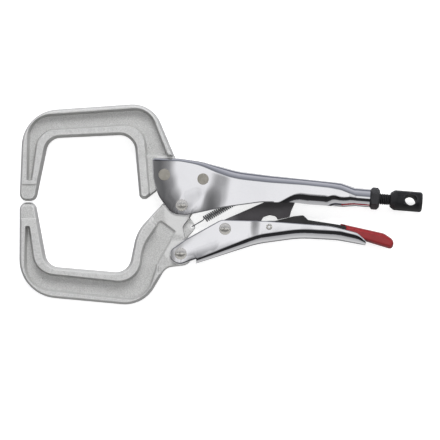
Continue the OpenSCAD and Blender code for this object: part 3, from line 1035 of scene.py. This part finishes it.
def spring():
    run = SPRING_ANCHOR - SPRING_HOLE
    length = float(np.linalg.norm(run))
    way = unit(run)
    side = np.array([-way[1], way[0]])
    coil_start, coil_end, pitch = 9.7, length - 7, 1.45
    mean_r, wire_r, per_turn = 2.2, 0.4, 22
    turns = (coil_end - coil_start - 2 * wire_r) / pitch
    steps = int(turns * per_turn)

    def at(along, across, z):
        xy = SPRING_HOLE + way * along + side * across
        return [xy[0], xy[1], z]

    path = [at(0.15, 0, -2.1), at(0, 0, -1.3), at(0, 0, 0), at(0, 0, 1.3), at(0.1, 0, 2.0)]
    path += [at(0.6, 0, 2.3), at(3, 0, 2.3), at(6, 0, 2.1), at(8.4, 0, 2.05)]
    path += [at(9.5, 0.15, 2.12)]
    for k in range(steps + 1):
        a = 2 * math.pi * k / per_turn
        along = coil_start + wire_r + pitch * k / per_turn
        path.append(at(along, mean_r * math.sin(a + 0.35), mean_r * math.cos(a + 0.35)))
    end = 2 * math.pi * steps / per_turn + 0.35
    last_z, last_side = mean_r * math.cos(end), mean_r * math.sin(end)
    for t in (0.15, 0.35, 0.6, 0.85):
        path.append(at(coil_end - wire_r + 3 * t, last_side * (1 - t), last_z * (1 - t)))
    path.append(at(coil_end + 3.4, 0, 0))
    x, y = SPRING_ANCHOR
    path += [[x - 1.2, y - 0.3, 0], [x + 0.6, y, 0], [x + 2.5, y, 0], [x + 4.2, y, 0]]
    return swept(path, wire_r)


spring_piece = piece(
    "return_spring_wire", *spring(), "frame_body", "spring_steel", ["return_spring"],
    sharp=60, weighted=False,
)
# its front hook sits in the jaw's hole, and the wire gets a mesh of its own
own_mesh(spring_piece)


# ---------------------------------------------------------------- screw and nut

PITCH = 1.25
THREAD_R = 4.0
THREAD_ROOT = 3.3
THREAD_FROM = 89.5
HEAD_START = 145.4
SCREW_END = 167.8
HEAD_R = 7.0
CROSS_HOLE_AT = 159.4
CROSS_HOLE_R = 4.0
CROSS_HOLE_TURN = math.radians(12)
NUT_START = 131.2


def thread():
    around, per_pitch = 40, 8
    rows = int((HEAD_START - THREAD_FROM) / PITCH * per_pitch)
    points, faces = [[0, 0, 0]], []
    for k in range(rows + 1):
        z = k * PITCH / per_pitch
        fade = min(1, z / 1.6, (HEAD_START - THREAD_FROM - z) / 1.2)
        for i in range(around):
            f = (k / per_pitch + i / around) % 1
            ridge = min(1, max(0, 1.25 * (1 - abs(2 * f - 1)) - 0.12))
            r = THREAD_ROOT + (THREAD_R - THREAD_ROOT) * ridge * max(fade, 0)
            if z < 1.0:
                r = min(r, 2.4 + 0.9 * z)
            a = 2 * math.pi * i / around
            points.append([r * math.cos(a), r * math.sin(a), z])
    for i in range(around):
        faces.append([0, 1 + (i + 1) % around, 1 + i])
    for k in range(rows):
        for i in range(around):
            a = 1 + k * around + i
            b = 1 + k * around + (i + 1) % around
            faces.append([a, b, b + around, a + around])
    points.append([0, 0, rows * PITCH / per_pitch])
    top = 1 + rows * around
    faces += [[top + i, top + (i + 1) % around, len(points) - 1] for i in range(around)]
    return np.array(points), faces


def screw_head():
    length = SCREW_END - HEAD_START
    profile = [[0, -0.3], [3.4, -0.3], [THREAD_R + 0.1, 0.0], [THREAD_R + 0.9, 0.08]]
    profile += [[5.25, 0.4], [6.6, 2.3], [HEAD_R - 0.08, 2.95], [HEAD_R, 3.5]]
    profile += [[HEAD_R, z] for z in np.linspace(5, length - 3, 12)]
    profile += [
        [HEAD_R - 1.7 + 1.7 * math.cos(a), length - 1.7 + 1.7 * math.sin(a)]
        for a in np.radians(np.arange(0, 91, 15))
    ]
    profile += [[2.5, length], [0, length]]
    return revolve(profile, 72)


points, faces = thread()
piece(
    "adjusting_screw_thread", on_screw(points, THREAD_FROM), faces, "screw_body", "black_oxide",
    ["adjusting_screw"], sharp=50, weighted=False,
)
points, faces = screw_head()
head = piece(
    "adjusting_screw_head", on_screw(points, HEAD_START), faces, "screw_body", "black_oxide",
    [], sharp=30, weighted=False,
)


def cross_hole():
    """What the hole through the screw's head takes away, its mouths slightly flared."""
    r = CROSS_HOLE_R
    half = [[0, -9], [r + 0.6, -9], [r + 0.5, -7.1], [r, -6.2]]
    p, faces = revolve(half + [[radius, -z] for radius, z in reversed(half)])
    c, s = math.cos(CROSS_HOLE_TURN), math.sin(CROSS_HOLE_TURN)
    x, y = by_screw(CROSS_HOLE_AT + p[:, 0], p[:, 1] * c + p[:, 2] * s)
    return np.c_[x, y, -p[:, 1] * s + p[:, 2] * c], faces


cut_away(head, *cross_hole())


def nut():
    flats, length, bore, around = 13.6, 6.8, 4.05, 96
    flat_r = flats / 2 * 0.87
    points, faces = [], []
    rows = 12
    for i in range(around):
        a = 2 * math.pi * i / around
        off = (a + math.pi / 6) % (math.pi / 3) - math.pi / 6
        hexagon = flats / 2 / math.cos(off)
        soft = hexagon - 0.12 * smooth(np.array([(abs(off) - 0.44) / 0.08]))[0]
        drop = max(0.0, (soft - flat_r) * math.tan(math.radians(40)))
        section = [[bore, 0.5], [bore + 0.5, 0.0], [flat_r - 0.3, 0.0], [flat_r, 0.04]]
        section += [[soft - 0.12, max(drop - 0.05, 0.05)], [soft, drop + 0.12]]
        full = section + [[r, length - z] for r, z in reversed(section)]
        for r, z in full:
            points.append([r * math.cos(a), r * math.sin(a), z])
    for i in range(around):
        for k in range(rows):
            a, b = i * rows, ((i + 1) % around) * rows
            faces.append([a + k, b + k, b + (k + 1) % rows, a + (k + 1) % rows])
    return np.array(points), faces


points, faces = nut()
# one flat lies straight up
piece(
    "jam_nut_hexagon", on_screw(points, NUT_START), faces, "nut_body", "black_oxide",
    ["jam_nut"], sharp=25, weighted=False,
)


# ---------------------------------------------------------------- floor, light and camera

CAMERA_HEIGHT = 2.0
VIEW_WIDTH = 0.3065
VIEW_CENTRE = (-0.0008, -0.0109)


def floor():
    size = 3.0
    mesh = bpy.data.meshes.new("floor")
    mesh.from_pydata(
        [(-size, -size, 0), (size, -size, 0), (size, size, 0), (-size, size, 0)], [],
        [(0, 1, 2, 3)],
    )
    obj = bpy.data.objects.new("floor", mesh)
    bpy.context.scene.collection.objects.link(obj)
    material = bpy.data.materials.new("pale_floor")
    material.use_nodes = True
    shader = material.node_tree.nodes["Principled BSDF"]
    shader.inputs["Base Color"].default_value = (0.5, 0.5, 0.5, 1)
    shader.inputs["Emission Color"].default_value = (1, 1, 1, 1)
    shader.inputs["Emission Strength"].default_value = 0.72
    shader.inputs["Roughness"].default_value = 0.9
    shader.inputs["Specular IOR Level"].default_value = 0.1
    mesh.materials.append(material)
    obj.visible_glossy = False


def world():
    """A studio: a bright strip overhead, a black gap on the near side, grey walls around."""
    scene = bpy.context.scene
    scene.world = bpy.data.worlds.new("studio")
    scene.world.use_nodes = True
    nodes, links = scene.world.node_tree.nodes, scene.world.node_tree.links
    background = nodes["Background"]
    place = nodes.new("ShaderNodeTexCoord").outputs["Generated"]
    split = nodes.new("ShaderNodeSeparateXYZ")
    links.new(place, split.inputs[0])
    angle = nodes.new("ShaderNodeMath")
    angle.operation = "ARCTAN2"
    links.new(split.outputs["Y"], angle.inputs[0])
    links.new(split.outputs["Z"], angle.inputs[1])
    drift = ranged(nodes, links, noise(nodes, links, place, 45, 2, (1.0, 0.15, 0.15)), -0.05, 0.05)
    shifted = nodes.new("ShaderNodeMath")
    shifted.operation = "ADD"
    links.new(angle.outputs[0], shifted.inputs[0])
    links.new(drift, shifted.inputs[1])
    share = ranged(nodes, links, shifted.outputs[0], 0, 1, -math.pi, math.pi)
    across = stepped(nodes, links, share, [
        ((deg + 180) / 360, colour) for deg, colour in (
            (-180, (0.12, 0.12, 0.12)), (-140, (0.12, 0.12, 0.12)), (-122, (0.62, 0.62, 0.62)),
            (-110, (0.70, 0.70, 0.70)), (-84, (0.60, 0.60, 0.60)), (-52, (0.44, 0.44, 0.45)),
            (-46, (0.03, 0.03, 0.032)), (-13, (0.02, 0.02, 0.021)), (-8, (0.35, 0.35, 0.36)),
            (-3, (0.97, 0.97, 0.98)), (7, (0.97, 0.97, 0.98)), (12, (0.42, 0.43, 0.46)),
            (18, (0.20, 0.21, 0.23)), (34, (0.28, 0.29, 0.33)), (60, (0.46, 0.47, 0.52)),
            (84, (0.62, 0.62, 0.67)), (96, (0.20, 0.21, 0.25)), (122, (0.18, 0.19, 0.23)),
            (130, (0.95, 0.95, 0.96)), (150, (0.95, 0.95, 0.96)), (158, (0.30, 0.30, 0.32)),
            (180, (0.30, 0.30, 0.32)),
        )
    ])
    aside = ranged(nodes, links, split.outputs["X"], 0, 1, -1, 1)
    along = stepped(nodes, links, aside, [
        ((x + 1) / 2, (k, k, k)) for x, k in (
            (-1, 0.45), (-0.3, 0.3), (-0.14, 0.14), (-0.075, 0.35), (-0.03, 0.97),
            (0.0, 1.0), (0.1, 1.0), (0.2, 0.75), (1, 0.8),
        )
    ])
    overhead = ranged(nodes, links, split.outputs["Z"], 0, 1, 0.8, 0.93)
    along = mixed(nodes, links, overhead, (1, 1, 1), along)
    links.new(mixed(nodes, links, 1.0, across, along, "MULTIPLY"), background.inputs["Color"])
    background.inputs["Strength"].default_value = 1.0


def area(name, location, size, energy):
    """A soft light aimed at the origin, which the metal doesn't mirror."""
    light = bpy.data.lights.new(name, "AREA")
    light.shape = "RECTANGLE"
    light.size, light.size_y = size
    light.energy = energy
    obj = bpy.data.objects.new(name, light)
    obj.location = location
    obj.rotation_euler = (-obj.location).to_track_quat("-Z", "Y").to_euler()
    obj.visible_glossy = False
    bpy.context.scene.collection.objects.link(obj)


def camera():
    """Straight above, taking in VIEW_WIDTH at the tool's middle height."""
    low, high = cad_box
    data = bpy.data.cameras.new("camera")
    data.sensor_width = 36
    middle_z = (low[2] + high[2]) / 2
    data.lens = data.sensor_width * (CAMERA_HEIGHT - middle_z) / VIEW_WIDTH
    obj = bpy.data.objects.new("camera", data)
    obj.location = (*VIEW_CENTRE, CAMERA_HEIGHT)
    bpy.context.scene.collection.objects.link(obj)
    bpy.context.scene.camera = obj


floor()
world()
area("soft_key", (0.1, 1.3, 1.3), (1.3, 0.8), 44)
area("soft_top", (0.2, -0.3, 2.4), (2.2, 2.2), 27)
camera()
scene = bpy.context.scene
scene.view_settings.view_transform = "Standard"
scene.view_settings.look = "None"
